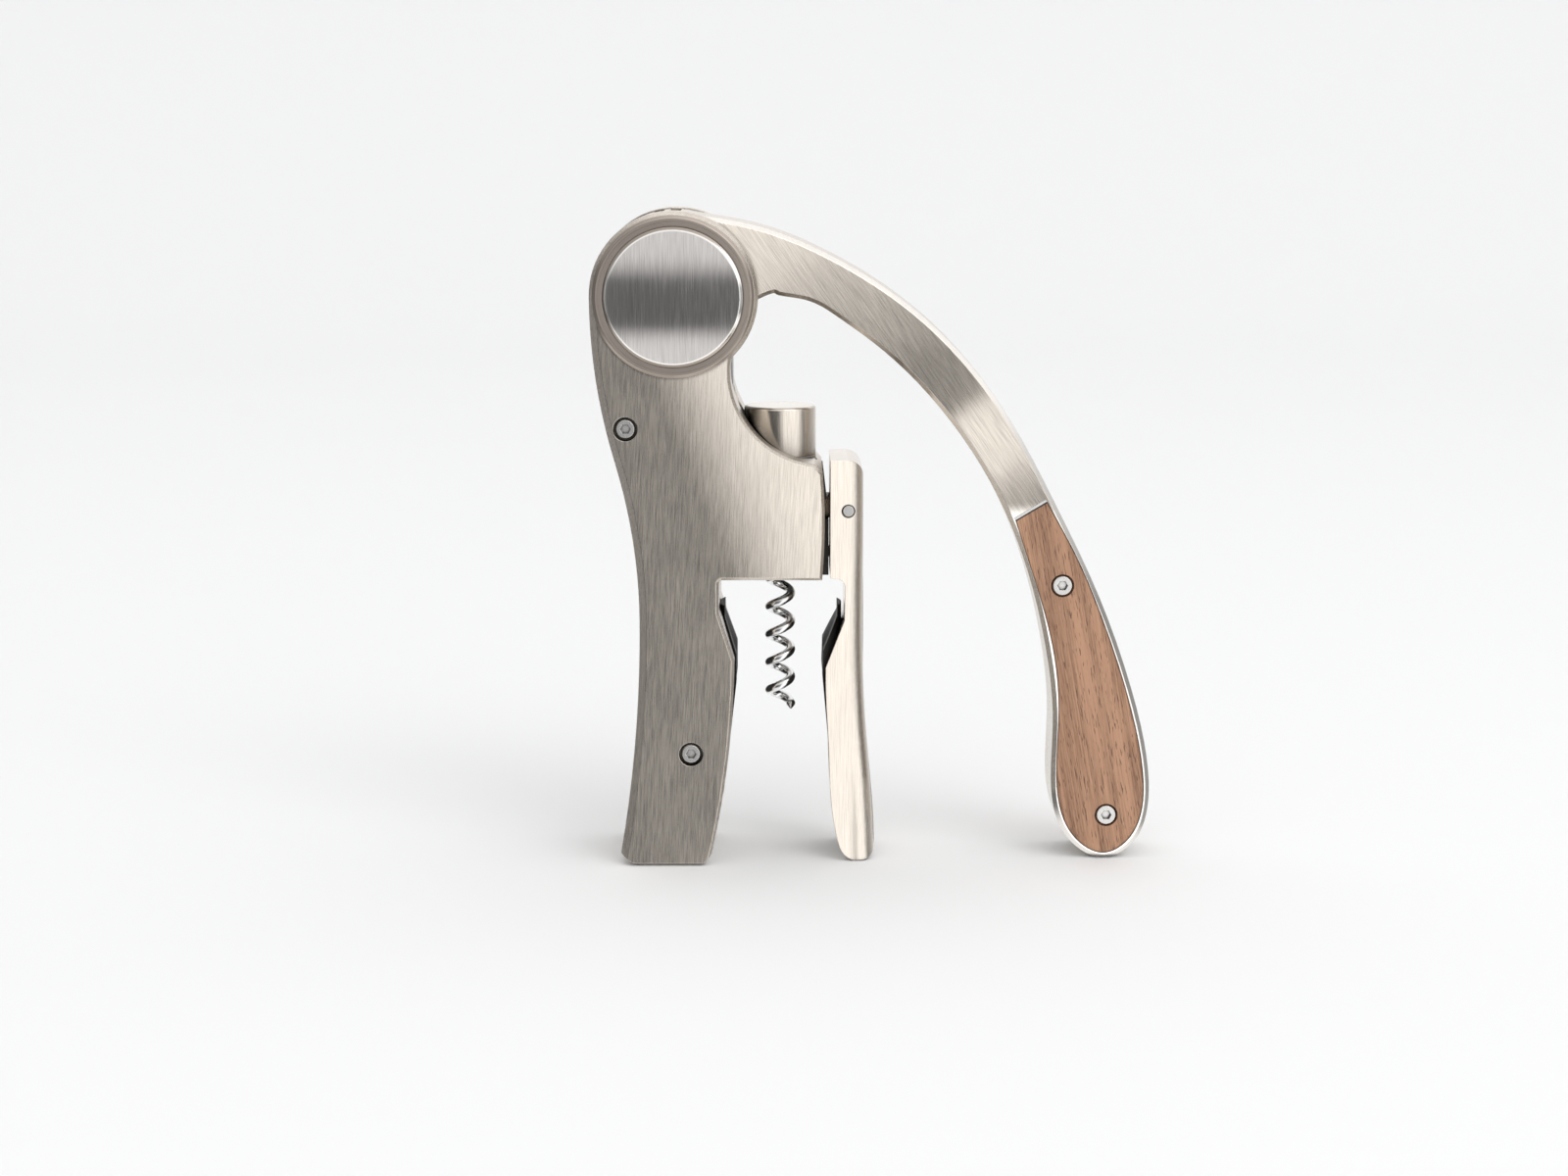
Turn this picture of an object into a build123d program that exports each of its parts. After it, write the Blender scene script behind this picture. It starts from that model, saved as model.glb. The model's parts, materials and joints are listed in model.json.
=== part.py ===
from build123d import *
from math import acos, cos, pi, radians, sin, tan
import os

# Rack lever corkscrew, standing on its leg, its jaw and the tip of its lever.
# +X points from the leg to the lever's handle, -Y is the front and +Z is up.
# The origin is on the worm's axis, where the bottle's mouth meets the seat.

# ---- driving dimensions, in millimetres ----
FLOOR_Z = -81.0          # the lowest edge of leg and lever
HUB = (-29.0, 78.0)      # lever axis, in X and Z
LOBE_R = 23.0            # housing round the lever axis
BODY_HALF = 19.0         # half the housing's thickness
CHEEK_IN = 11.3          # from the middle plane to the inner face of a cheek
BACK_BEVEL = 2.0         # bevel down the housing's back and round its lobe
EDGE_BEVEL = 0.8         # bevel on the housing's other front edges

HUB_HALF = 11.0          # half the thickness of the lever's hub
ARM_HALF = 10.5          # half the thickness of the lever's arm
HUB_R = 19.0             # lever hub
RIM_R = 22.6             # raised rim on top of the hub
SLOT_R = 24.0            # room for the hub between the cheeks
GROOVE_R = 20.0          # groove round the gear, in the middle of the hub
GROOVE_HALF = 4.8

MODULE = 1.25            # of the gear and the rack
GEAR_TEETH = 20
PITCH_R = MODULE * GEAR_TEETH / 2
BACKLASH = 0.25          # taken off each tooth's thickness
PRESSURE = radians(20)
GEAR_HALF = 4.3

RACK_HALF = 4.0
RACK_PITCH_X = HUB[0] + PITCH_R
RACK_BACK_X = -13.0
RACK_TIP_X = RACK_PITCH_X - 1.2
RACK_ROOT_X = RACK_PITCH_X + 1.5
RACK_FOOT_Z = 13.0
RACK_TOP_Z = HUB[1] + 4.0

CARRIAGE_R = 10.0
CARRIAGE_Z = 12.5        # underside of the carriage, lever down
CARRIAGE_JOIN_Z = 33.0   # where the head is screwed on
CARRIAGE_TOP_Z = 46.7
BORE_GAP = 0.35          # between the carriage and its bore
KEEL_HALF = 4.1

LEAD = 8.0               # worm
WORM_R = 3.0             # radius of the wire's middle line
WIRE_R = 1.3
WORM_TIP_Z = -38.5
POINT_LENGTH = 2.6
POINT_TAPER = 24
WORM_TOP_Z = 10.5
SHANK_R = 3.0
SHANK_TOP_Z = 21.4
WASHER_OUT_R = 5.9
RUN_GAP = 0.08           # radial running clearance

NUT_R = 7.5
NUT_TOP_Z = 9.0
NUT_FLANGE_R = 10.4
NUT_FLANGE_T = 2.0

PAD_R = 17.2             # seat of the neck pads
PAD_TOP_Z = -9.0
PAD_LOW_Z = -62.0
NECK_R = 13.6            # narrowest place between the pads
FOOT_R = 20.5            # leg and jaw round the bottle's shoulder

JAW_HALF = 13.5
JAW_LOW_Z = FLOOR_Z + 0.3
JAW_EDGE_R = 5.0
JAW_IN_X = 13.9
JAW_PIN = (18.9, 18.5)   # X and Z
JAW_PIN_R = 1.5
LUG_R = 2.9
LUG_HALF = 5.0
SPRING_Z = 5.5

FLANGE_R = 22.0
FLANGE_SEAT = 17.7
FLANGE_TOP = 21.4        # distances from the middle plane
FLANGE_BASE = 20.2
DISC_R = 19.0
DISC_TOP = 22.4
AXLE_R = 4.0

SCALE_FACE = 10.3
SCALE_BACK = 4.5
HOUSING_SCREWS = [(-42.3, 41.9), (-24.8, -49.0)]
HANDLE_SCREWS = [(78.7, -2.9), (92.0, -68.5)]
DOWELS = [(-30.0, 10.0), (-34.0, -70.0)]
SCREW_HEAD_R = 2.75
SCREW_SHANK_R = 1.6
SCREW_SEAT = 16.2        # head's underside, from the middle plane
RECESS_R = 3.35


def upright(y):
    """A plane facing the front, at distance y behind the middle plane."""
    return Plane.XZ.offset(-y)


def on_hub(radius, degrees):
    """A point at a radius and angle round the lever axis."""
    angle = radians(degrees)
    return (HUB[0] + radius * cos(angle), HUB[1] + radius * sin(angle))


def save(builder, name):
    builder.part.label = name
    export_step(builder.part, f"parts/{name}.step")


os.makedirs("parts", exist_ok=True)

# ---- housing: two shells that meet in the middle plane ----
LOBE_END = on_hub(LOBE_R, -47.5)
LOBE_LEFT = (HUB[0] - LOBE_R, HUB[1])
SHOULDER = (9.5, 32.2)
CUT_Z = FLOOR_Z - 1

with BuildPart() as housing_front:
    with BuildSketch(Plane.XZ):
        with BuildLine():
            flank = TangentArc(LOBE_LEFT, (-45.4, 32.6), tangent=(0, -1))
            waist = TangentArc(flank @ 1, (-38.9, -12.0), tangent=flank % 1)
            calf = TangentArc(waist @ 1, (-45.2, FLOOR_Z), tangent=waist % 1)
            ThreePointArc(LOBE_LEFT, on_hub(LOBE_R, 70), LOBE_END)
            ThreePointArc(LOBE_END, (-8.4, 42.2), SHOULDER)
            Line(SHOULDER, (11.7, 29.8))
            ThreePointArc((11.7, 29.8), (12.3, 16.0), (11.6, 0))
            Line((11.6, 0), (-16.0, 0))
            ThreePointArc((-16.0, 0), (-16.7, -0.4), (-16.9, -1.2))
            Line((-16.9, -1.2), (-17.0, -9.0))
            Line((-17.0, -9.0), (-12.7, -22.5))
            ThreePointArc((-12.7, -22.5), (-14.2, -48.0), (-20.0, FLOOR_Z))
            Line((-20.0, FLOOR_Z), calf @ 1)
        make_face()
    extrude(amount=BODY_HALF)
    # wide bevel down the back and round the lobe, small bevels elsewhere
    front_rim = housing_front.faces().sort_by(Axis.Y)[0].edges()
    chamfer(front_rim.filter_by(lambda edge: edge.center().X < -36 or edge.center().Z > 90), BACK_BEVEL)
    front_rim = housing_front.faces().sort_by(Axis.Y)[0].edges()
    chamfer(front_rim.filter_by(lambda edge: edge.center().X > -19 or edge.center().Z < -80), EDGE_BEVEL)
    # rounded corners of the leg's end
    with BuildSketch(Plane.XZ):
        with BuildLine():
            ThreePointArc((-18.9, -76.5), (-20.9, -79.8), (-24.5, FLOOR_Z))
            Polyline((-24.5, FLOOR_Z), (-24.5, CUT_Z), (-16, CUT_Z), (-16, -76.5), (-18.9, -76.5))
        make_face()
        with BuildLine():
            ThreePointArc((-37.5, FLOOR_Z), (-42.0, -79.7), (-45.4, -76.5))
            Polyline((-45.4, -76.5), (-48, -76.5), (-48, CUT_Z), (-37.5, CUT_Z), (-37.5, FLOOR_Z))
        make_face()
    extrude(amount=BODY_HALF, mode=Mode.SUBTRACT)
    # the lug that carries the jaw, in the middle of the right edge
    with BuildSketch(Plane.XZ):
        with Locations(JAW_PIN):
            Circle(LUG_R)
        with Locations(((JAW_PIN[0] + 11) / 2, JAW_PIN[1])):
            Rectangle(JAW_PIN[0] - 11, 2 * LUG_R)
    extrude(amount=LUG_HALF)
    # seat of the hub's flange
    with BuildSketch(upright(-FLANGE_SEAT)):
        with Locations(HUB):
            Circle(FLANGE_R)
    extrude(amount=5, mode=Mode.SUBTRACT)
    # room between the cheeks for the lever, up and to the left
    with BuildSketch(Plane.XZ):
        with Locations(HUB):
            Circle(SLOT_R)
        Polygon((-34, 53.5), (-56, 59.5), (-56, 80), HUB, align=None)
    extrude(amount=CHEEK_IN, mode=Mode.SUBTRACT)
    # carriage bore and the channel for its rack
    with BuildSketch(Plane.XY.offset(NUT_TOP_Z + 1.5)):
        Circle(CARRIAGE_R + BORE_GAP)
        with Locations((-13.8, 0)):
            Rectangle(9.6, 2 * (KEEL_HALF + BORE_GAP))
    extrude(amount=60, mode=Mode.SUBTRACT)
    # seat of the worm's nut
    with BuildSketch(Plane.XY):
        Circle(NUT_R)
    extrude(amount=NUT_TOP_Z + 2, mode=Mode.SUBTRACT)
    with BuildSketch(Plane.XY):
        Circle(NUT_FLANGE_R)
    extrude(amount=NUT_FLANGE_T, mode=Mode.SUBTRACT)
    # hollow of the leg, round the bottle's neck
    with BuildSketch(Plane.XZ):
        with BuildLine():
            Polyline((0, 0), (PAD_R, 0), (PAD_R, PAD_LOW_Z), (FOOT_R, FLOOR_Z - 1),
                     (0, FLOOR_Z - 1), close=True)
        make_face()
    revolve(axis=Axis.Z, mode=Mode.SUBTRACT)
    # axle, jaw pin, dowels and screws
    with BuildSketch(Plane.XZ):
        with Locations(HUB):
            Circle(AXLE_R)
        with Locations(JAW_PIN):
            Circle(JAW_PIN_R + RUN_GAP)
        with Locations(*HOUSING_SCREWS):
            Circle(SCREW_SHANK_R)
    extrude(amount=BODY_HALF, mode=Mode.SUBTRACT)
    with BuildSketch(Plane.XZ):
        with Locations(*DOWELS):
            Circle(1.5)
    extrude(amount=8, mode=Mode.SUBTRACT)
    with BuildSketch(upright(-SCREW_SEAT)):
        with Locations(*HOUSING_SCREWS):
            Circle(RECESS_R)
    extrude(amount=4, mode=Mode.SUBTRACT)
    # pockets of the jaw's spring and of the lever's buffer
    with BuildSketch(Plane.YZ.offset(9)):
        with Locations((0, SPRING_Z)):
            Circle(2.3)
    extrude(amount=4, mode=Mode.SUBTRACT)
    with BuildSketch(Plane.XZ):
        with Locations((-45.6, 55.6)):
            Circle(2)
    extrude(amount=6, mode=Mode.SUBTRACT)
    # holes of the nut's screws
    with BuildSketch(Plane.XY):
        with Locations((0, -9), (0, 9)):
            Circle(0.7)
    extrude(amount=8, mode=Mode.SUBTRACT)
save(housing_front, "housing_front")

with BuildPart() as housing_rear:
    mirror(housing_front.part, about=Plane.XZ)
    with BuildSketch(upright(SCREW_SEAT)):
        with Locations(*HOUSING_SCREWS):
            Circle(2.4)
    extrude(amount=10, mode=Mode.SUBTRACT)
save(housing_rear, "housing_rear")


# ---- screws, nuts and dowels of the housing ----
def socket_screw(head_top, head_r, seat, shank_r, tip):
    """A socket head screw along Y, with its head in front, at the origin."""
    with BuildPart() as screw:
        with BuildSketch(upright(-seat)):
            Circle(head_r)
        extrude(amount=head_top - seat)
        chamfer(screw.edges().group_by(Axis.Y)[0], 0.35)
        with BuildSketch(upright(-head_top)):
            RegularPolygon(1.5, 6)
        extrude(amount=-1.4, mode=Mode.SUBTRACT)
        with BuildSketch(upright(-seat)):
            Circle(shank_r)
        extrude(amount=-(seat - tip))
    return screw.part


def spread(shape, places):
    """The same solid at several places in X and Z, as one group."""
    return [Pos(x, 0, z) * shape for x, z in places]


with BuildPart() as housing_screws:
    add(spread(socket_screw(18.5, SCREW_HEAD_R, SCREW_SEAT, SCREW_SHANK_R, -13), HOUSING_SCREWS))
save(housing_screws, "housing_screws")

with BuildPart() as barrel_nut:
    with BuildSketch(upright(SCREW_SEAT)):
        Circle(SCREW_HEAD_R)
    extrude(amount=-2.3)
    chamfer(barrel_nut.edges().group_by(Axis.Y)[-1], 0.35)
    with BuildSketch(upright(SCREW_SEAT)):
        Circle(2.4)
    extrude(amount=10)
    with BuildSketch(Plane.XZ):
        Circle(SCREW_SHANK_R)
    extrude(amount=-13, mode=Mode.SUBTRACT)
    with BuildSketch(upright(18.5)):
        RegularPolygon(1.5, 6)
    extrude(amount=1.4, mode=Mode.SUBTRACT)
with BuildPart() as housing_nuts:
    add(spread(barrel_nut.part, HOUSING_SCREWS))
save(housing_nuts, "housing_nuts")

with BuildPart() as housing_dowels:
    with BuildSketch(Plane.XZ):
        with Locations(*DOWELS):
            Circle(1.5)
    extrude(amount=8, both=True)
save(housing_dowels, "housing_dowels")

# ---- hub: axle, flanges and discs ----
with BuildPart() as pivot_axle:
    with BuildSketch(Plane.XZ):
        with Locations(HUB):
            Circle(AXLE_R)
            Circle(1.5, mode=Mode.SUBTRACT)
    extrude(amount=FLANGE_SEAT, both=True)
    chamfer(pivot_axle.edges().group_by(Axis.Y)[0], 0.3)
    chamfer(pivot_axle.edges().group_by(Axis.Y)[-1], 0.3)
save(pivot_axle, "pivot_axle")

with BuildPart() as hub_flange_front:
    with BuildSketch(upright(-FLANGE_SEAT)):
        with Locations(HUB):
            Circle(FLANGE_R)
            Circle(1.6, mode=Mode.SUBTRACT)
    extrude(amount=FLANGE_TOP - FLANGE_SEAT)
    chamfer(hub_flange_front.faces().sort_by(Axis.Y)[0].edges().sort_by(SortBy.RADIUS)[-1], 0.8)
    with BuildSketch(upright(-FLANGE_BASE)):
        with Locations(HUB):
            Circle(DISC_R + 0.1)
    extrude(amount=2, mode=Mode.SUBTRACT)
save(hub_flange_front, "hub_flange_front")

with BuildPart() as hub_disc_front:
    with BuildSketch(upright(-FLANGE_BASE)):
        with Locations(HUB):
            Circle(DISC_R)
    extrude(amount=DISC_TOP - FLANGE_BASE)
    chamfer(hub_disc_front.edges().group_by(Axis.Y)[0], 0.8)
    with BuildSketch(upright(-FLANGE_BASE)):
        with Locations(HUB):
            Circle(3.4)
    extrude(amount=1.3, mode=Mode.SUBTRACT)
save(hub_disc_front, "hub_disc_front")

with BuildPart() as hub_flange_rear:
    mirror(hub_flange_front.part, about=Plane.XZ)
save(hub_flange_rear, "hub_flange_rear")

with BuildPart() as hub_disc_rear:
    mirror(hub_disc_front.part, about=Plane.XZ)
save(hub_disc_rear, "hub_disc_rear")

with BuildPart() as axle_screws:
    with BuildSketch(upright(-FLANGE_BASE)):
        with Locations(HUB):
            Circle(3)
    extrude(amount=1)
    with BuildSketch(upright(-FLANGE_BASE)):
        with Locations(HUB):
            Circle(1.5)
    extrude(amount=-12)
    with BuildSketch(upright(-FLANGE_BASE - 1)):
        with Locations(HUB):
            Rectangle(5, 0.8)
    extrude(amount=-0.6, mode=Mode.SUBTRACT)
    mirror(about=Plane.XZ)
save(axle_screws, "axle_screws")

with BuildPart() as pivot_bushes:
    with BuildSketch(upright(-GROOVE_HALF)):
        with Locations(HUB):
            Circle(6)
            Circle(AXLE_R + RUN_GAP, mode=Mode.SUBTRACT)
    extrude(amount=HUB_HALF + 0.15 - GROOVE_HALF)
    mirror(about=Plane.XZ)
save(pivot_bushes, "pivot_bushes")

# ---- lever ----
SCALE_TOP = [(65.3, 15.6), (74.0, 20.8)]
SCALE_RIGHT = [SCALE_TOP[1], (82.2, 5.9), (90.2, -12.7), (98.9, -39.5), (102.1, -56.0),
               (101.8, -68.0), (98.4, -75.4), (91.5, -79.4)]
SCALE_LEFT = [(85.2, -76.9), (80.2, -70.2), (77.8, -59.0), (78.1, -40.0),
              (75.8, -18.5), (70.8, -1.1), SCALE_TOP[0]]


def scale_outline():
    with BuildSketch(Plane.XZ, mode=Mode.PRIVATE) as outline:
        with BuildLine():
            Line(*SCALE_TOP)
            Spline(*SCALE_RIGHT, *SCALE_LEFT, tangents=[(0.5, -0.87), (-0.3, 0.95)])
        make_face()
    return outline.sketch


OUTER_EDGE = [on_hub(RIM_R, 77), (-9.5, 97.5), (13.3, 89.0), (39.5, 71.7), (62.6, 44.9),
              (76.5, 19.8), (88.4, -4.7), (98.2, -31.3), (103.5, -54.0), (103.6, -67.5),
              (99.8, -76.6), (91.5, FLOOR_Z)]
INNER_EDGE = [(84.0, -78.0), (78.6, -70.8), (76.3, -59.0), (76.6, -41.7),
              (74.4, -21.1), (68.3, 3.1), (59.2, 24.4), (46.2, 44.2), (26.4, 64.2),
              (15.0, 72.4), (6.5, 76.6), (-0.8, 77.9), (-8.0, 75.8)]

with BuildPart() as lever_arm:
    with BuildSketch(Plane.XZ):
        with BuildLine():
            Spline(*OUTER_EDGE, *INNER_EDGE, tangents=[(1, -0.2), (-1, -0.45)])
            Line(INNER_EDGE[-1], HUB)
            Line(HUB, OUTER_EDGE[0])
        make_face()
    extrude(amount=ARM_HALF, both=True)
    chamfer([*lever_arm.faces().sort_by(Axis.Y)[0].edges().filter_by(GeomType.BSPLINE),
             *lever_arm.faces().sort_by(Axis.Y)[-1].edges().filter_by(GeomType.BSPLINE)], 1.2)
    # hub, with a raised rim on its top and two notches across the rim
    with BuildSketch(Plane.XZ):
        with Locations(HUB):
            Circle(HUB_R)
        with BuildLine():
            Line(HUB, on_hub(RIM_R, 60))
            ThreePointArc(on_hub(RIM_R, 60), on_hub(RIM_R, 92), on_hub(RIM_R, 125))
            Line(on_hub(RIM_R, 125), HUB)
        make_face()
        for middle in (90, 102):
            Polygon(on_hub(RIM_R + 1, middle - 5), on_hub(RIM_R + 1, middle + 5),
                    on_hub(RIM_R - 1.4, middle + 2.5), on_hub(RIM_R - 1.4, middle - 2.5),
                    align=None, mode=Mode.SUBTRACT)
    extrude(amount=HUB_HALF, both=True)
    # groove for the gear and the rack, open under the arm's root
    with BuildSketch(Plane.XZ):
        with Locations(HUB):
            Circle(GROOVE_R)
        Polygon(HUB, on_hub(30, -60), on_hub(30, -10), on_hub(27, 14), align=None)
    extrude(amount=GROOVE_HALF, both=True, mode=Mode.SUBTRACT)
    # bores of the bushes and the gear's pins
    with BuildSketch(Plane.XZ):
        with Locations(HUB):
            Circle(6)
    extrude(amount=HUB_HALF, both=True, mode=Mode.SUBTRACT)
    with BuildSketch(Plane.XZ):
        with Locations(on_hub(8.6, 90), on_hub(8.6, 270)):
            Circle(1.2)
    extrude(amount=9, both=True, mode=Mode.SUBTRACT)
    # pockets of the wooden scales and holes of their screws
    with BuildSketch(upright(-SCALE_BACK)):
        add(scale_outline())
    extrude(amount=8, mode=Mode.SUBTRACT)
    with BuildSketch(upright(SCALE_BACK)):
        add(scale_outline())
    extrude(amount=-8, mode=Mode.SUBTRACT)
    with BuildSketch(Plane.XZ):
        with Locations(*HANDLE_SCREWS):
            Circle(1.4)
    extrude(amount=SCALE_BACK, both=True, mode=Mode.SUBTRACT)
save(lever_arm, "lever_arm")

with BuildPart() as handle_scale_front:
    with BuildSketch(upright(-SCALE_BACK)):
        add(scale_outline())
    extrude(amount=SCALE_FACE - SCALE_BACK)
    chamfer(handle_scale_front.faces().sort_by(Axis.Y)[0].edges(), 0.3)
    with BuildSketch(upright(-8.6)):
        with Locations(*HANDLE_SCREWS):
            Circle(3.25)
    extrude(amount=3, mode=Mode.SUBTRACT)
    with BuildSketch(upright(-SCALE_BACK)):
        with Locations(*HANDLE_SCREWS):
            Circle(1.4)
    extrude(amount=5, mode=Mode.SUBTRACT)
save(handle_scale_front, "handle_scale_front")

with BuildPart() as handle_scale_rear:
    mirror(handle_scale_front.part, about=Plane.XZ)
save(handle_scale_rear, "handle_scale_rear")

with BuildPart() as handle_screws_front:
    add(spread(socket_screw(10.1, 2.9, 8.6, 1.4, 0.6), HANDLE_SCREWS))
save(handle_screws_front, "handle_screws_front")

with BuildPart() as handle_screws_rear:
    mirror(handle_screws_front.part, about=Plane.XZ)
save(handle_screws_rear, "handle_screws_rear")


# ---- gear and rack ----
def half_tooth(radius):
    """Half the angle of a gear tooth at a radius, from the involute."""
    base_r = PITCH_R * cos(PRESSURE)
    at_radius = acos(min(1, base_r / radius))
    at_pitch = (pi * MODULE / 2 - BACKLASH) / (2 * PITCH_R)
    return at_pitch + (tan(PRESSURE) - PRESSURE) - (tan(at_radius) - at_radius)


def gear_point(radius, angle):
    return (HUB[0] + radius * cos(angle), HUB[1] + radius * sin(angle))


BASE_R = PITCH_R * cos(PRESSURE)
TIP_R = PITCH_R + MODULE - 0.05
ROOT_R = PITCH_R - 1.25 * MODULE
FLANK = [BASE_R + (TIP_R - BASE_R) * step / 3 for step in range(4)]

with BuildPart() as drive_gear:
    with BuildSketch(Plane.XZ):
        with BuildLine():
            for tooth in range(GEAR_TEETH):
                middle = 2 * pi * tooth / GEAR_TEETH
                following = middle + 2 * pi / GEAR_TEETH
                low = [gear_point(r, middle - half_tooth(r)) for r in FLANK]
                high = [gear_point(r, middle + half_tooth(r)) for r in reversed(FLANK)]
                root_in = gear_point(ROOT_R, middle - half_tooth(BASE_R))
                root_out = gear_point(ROOT_R, middle + half_tooth(BASE_R))
                root_next = gear_point(ROOT_R, following - half_tooth(BASE_R))
                root_mid = gear_point(ROOT_R, middle + pi / GEAR_TEETH)
                Line(root_in, low[0])
                Spline(*low)
                ThreePointArc(low[-1], gear_point(TIP_R, middle), high[0])
                Spline(*high)
                Line(high[-1], root_out)
                ThreePointArc(root_out, root_mid, root_next)
        make_face()
        with Locations(HUB):
            Circle(AXLE_R + 0.3, mode=Mode.SUBTRACT)
        with Locations(on_hub(8.6, 90), on_hub(8.6, 270)):
            Circle(1.2, mode=Mode.SUBTRACT)
    extrude(amount=GEAR_HALF, both=True)
save(drive_gear, "drive_gear")

with BuildPart() as gear_pins:
    with BuildSketch(Plane.XZ):
        with Locations(on_hub(8.6, 90), on_hub(8.6, 270)):
            Circle(1.2)
    extrude(amount=9, both=True)
save(gear_pins, "gear_pins")

RACK_PITCH = pi * MODULE
TOOTH_ROOT = (RACK_PITCH / 2 - BACKLASH) / 2 + 1.5 * tan(PRESSURE)
TOOTH_TIP = (RACK_PITCH / 2 - BACKLASH) / 2 - 1.2 * tan(PRESSURE)
RACK_SCREW_Z = [18.0, 28.0]

with BuildPart() as rack:
    with BuildSketch(Plane.XZ):
        with BuildLine():
            outline = [(RACK_BACK_X, RACK_TOP_Z), (RACK_BACK_X, RACK_FOOT_Z),
                       (RACK_TIP_X, RACK_FOOT_Z), (RACK_TIP_X, CARRIAGE_JOIN_Z),
                       (RACK_ROOT_X, CARRIAGE_JOIN_Z)]
            for step in range(-11, 1):
                middle = HUB[1] + (step + 0.5) * RACK_PITCH
                outline += [(RACK_ROOT_X, middle - TOOTH_ROOT), (RACK_TIP_X, middle - TOOTH_TIP),
                            (RACK_TIP_X, middle + TOOTH_TIP), (RACK_ROOT_X, middle + TOOTH_ROOT)]
            Polyline(*outline, (RACK_ROOT_X, RACK_TOP_Z), close=True)
        make_face()
    extrude(amount=RACK_HALF, both=True)
    with BuildSketch(Plane.YZ.offset(RACK_TIP_X)):
        with Locations(*[(0, z) for z in RACK_SCREW_Z]):
            Circle(0.9)
    extrude(amount=6, mode=Mode.SUBTRACT)
    with BuildSketch(Plane.YZ.offset(RACK_TIP_X)):
        with Locations(*[(0, z) for z in RACK_SCREW_Z]):
            Circle(1.7)
    extrude(amount=1.4, mode=Mode.SUBTRACT)
save(rack, "rack")

with BuildPart() as rack_screws:
    with BuildSketch(Plane.YZ.offset(RACK_TIP_X + 0.2)):
        with Locations(*[(0, z) for z in RACK_SCREW_Z]):
            Circle(1.6)
    extrude(amount=1.2)
    with BuildSketch(Plane.YZ.offset(RACK_TIP_X + 1.4)):
        with Locations(*[(0, z) for z in RACK_SCREW_Z]):
            Circle(0.9)
    extrude(amount=7)
save(rack_screws, "rack_screws")

# ---- carriage ----
with BuildPart() as carriage:
    with BuildSketch(Plane.XY.offset(CARRIAGE_Z)):
        Circle(CARRIAGE_R)
        with Locations(((RACK_BACK_X - 7) / 2, 0)):
            Rectangle(-RACK_BACK_X - 7, 2 * KEEL_HALF)
    extrude(amount=CARRIAGE_JOIN_Z - CARRIAGE_Z)
    with BuildSketch(Plane.XY.offset(16)):
        Circle(6.2)
    extrude(amount=20, mode=Mode.SUBTRACT)
    with BuildSketch(Plane.XY.offset(CARRIAGE_Z)):
        Circle(SHANK_R + RUN_GAP)
    extrude(amount=5, mode=Mode.SUBTRACT)
    with BuildSketch(Plane.YZ.offset(RACK_BACK_X)):
        with Locations(*[(0, z) for z in RACK_SCREW_Z]):
            Circle(0.9)
    extrude(amount=3.7, mode=Mode.SUBTRACT)
    with BuildSketch(Plane.XZ):
        with Locations((0, 30.5)):
            Circle(1)
    extrude(amount=9.4, both=True, mode=Mode.SUBTRACT)
save(carriage, "carriage")

with BuildPart() as carriage_head:
    with BuildSketch(Plane.XY.offset(CARRIAGE_JOIN_Z)):
        Circle(CARRIAGE_R)
    extrude(amount=CARRIAGE_TOP_Z - CARRIAGE_JOIN_Z)
    fillet(carriage_head.edges().group_by(Axis.Z)[-1], 0.9)
    with BuildSketch(Plane.XY.offset(28)):
        Circle(6.2)
    extrude(amount=CARRIAGE_JOIN_Z - 28)
    with BuildSketch(Plane.XZ):
        with Locations((0, 30.5)):
            Circle(1)
    extrude(amount=9.4, both=True, mode=Mode.SUBTRACT)
save(carriage_head, "carriage_head")

with BuildPart() as head_pin:
    with BuildSketch(Plane.XZ):
        with Locations((0, 30.5)):
            Circle(1)
    extrude(amount=9.4, both=True)
save(head_pin, "head_pin")

with BuildPart() as thrust_washers:
    for z in (16.0, 19.6):
        with BuildSketch(Plane.XY.offset(z)):
            Circle(WASHER_OUT_R)
            Circle(SHANK_R + RUN_GAP, mode=Mode.SUBTRACT)
        extrude(amount=0.8)
save(thrust_washers, "thrust_washers")

with BuildPart() as collar_clip:
    with BuildSketch(Plane.XY.offset(20.4)):
        Circle(6.2)
        Circle(4.6, mode=Mode.SUBTRACT)
        with Locations((6, 0)):
            Rectangle(6, 2.4, mode=Mode.SUBTRACT)
    extrude(amount=1.2)
save(collar_clip, "collar_clip")

# ---- worm and its nut ----
with BuildPart() as worm:
    with BuildLine() as wire_run:
        Helix(LEAD, WORM_TOP_Z - WORM_TIP_Z, WORM_R, center=(0, 0, WORM_TIP_Z))
    with BuildSketch(Plane(origin=wire_run.line @ 0, z_dir=wire_run.line % 0)):
        Circle(WIRE_R)
    sweep(path=wire_run.line, is_frenet=True)
    with BuildSketch(Plane(origin=wire_run.line @ 0, z_dir=-(wire_run.line % 0))):
        Circle(WIRE_R)
    extrude(amount=POINT_LENGTH, taper=POINT_TAPER)
    with BuildSketch(Plane.XY.offset(NUT_TOP_Z + 0.6)):
        Circle(WORM_R + WIRE_R + 0.3)
    extrude(amount=2.6)
    with BuildSketch(Plane.XY.offset(NUT_TOP_Z + 0.6)):
        Circle(SHANK_R)
    extrude(amount=SHANK_TOP_Z - NUT_TOP_Z - 0.6)
save(worm, "worm")

with BuildPart() as worm_collar:
    with BuildSketch(Plane.XY.offset(16.9)):
        Circle(WASHER_OUT_R - 0.1)
        Circle(SHANK_R, mode=Mode.SUBTRACT)
    extrude(amount=2.6)
save(worm_collar, "worm_collar")

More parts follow.
